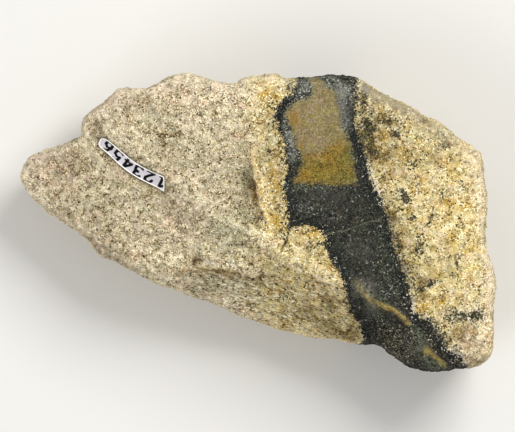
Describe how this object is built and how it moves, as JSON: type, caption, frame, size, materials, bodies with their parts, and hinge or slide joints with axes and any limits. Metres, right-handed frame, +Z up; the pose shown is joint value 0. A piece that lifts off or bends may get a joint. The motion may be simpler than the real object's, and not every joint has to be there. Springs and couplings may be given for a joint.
{
  "type": "tornebohmite specimen",
  "caption": "Slab of pale granite with one sawn face, crossed by a dark mineral vein with an ochre core, with a narrow paper strip label glued on its lower step.",
  "frame": {"origin": "middle of the slab's length and width, on the flat patch it rests on", "axes": "+X along the slab towards its thick sawn end, +Y across it towards the vein's ochre end, +Z up out of the sawn face"},
  "size_m": [0.105, 0.0659, 0.03],
  "materials": {
    "stone": "rough broken granite with one sawn, matt face and a dark speckled vein",
    "label_paper": "matt off-white paper strip"
  },
  "bodies": {
    "root": {"stone": "stone", "label": "label_paper"}
  },
  "joints": []
}
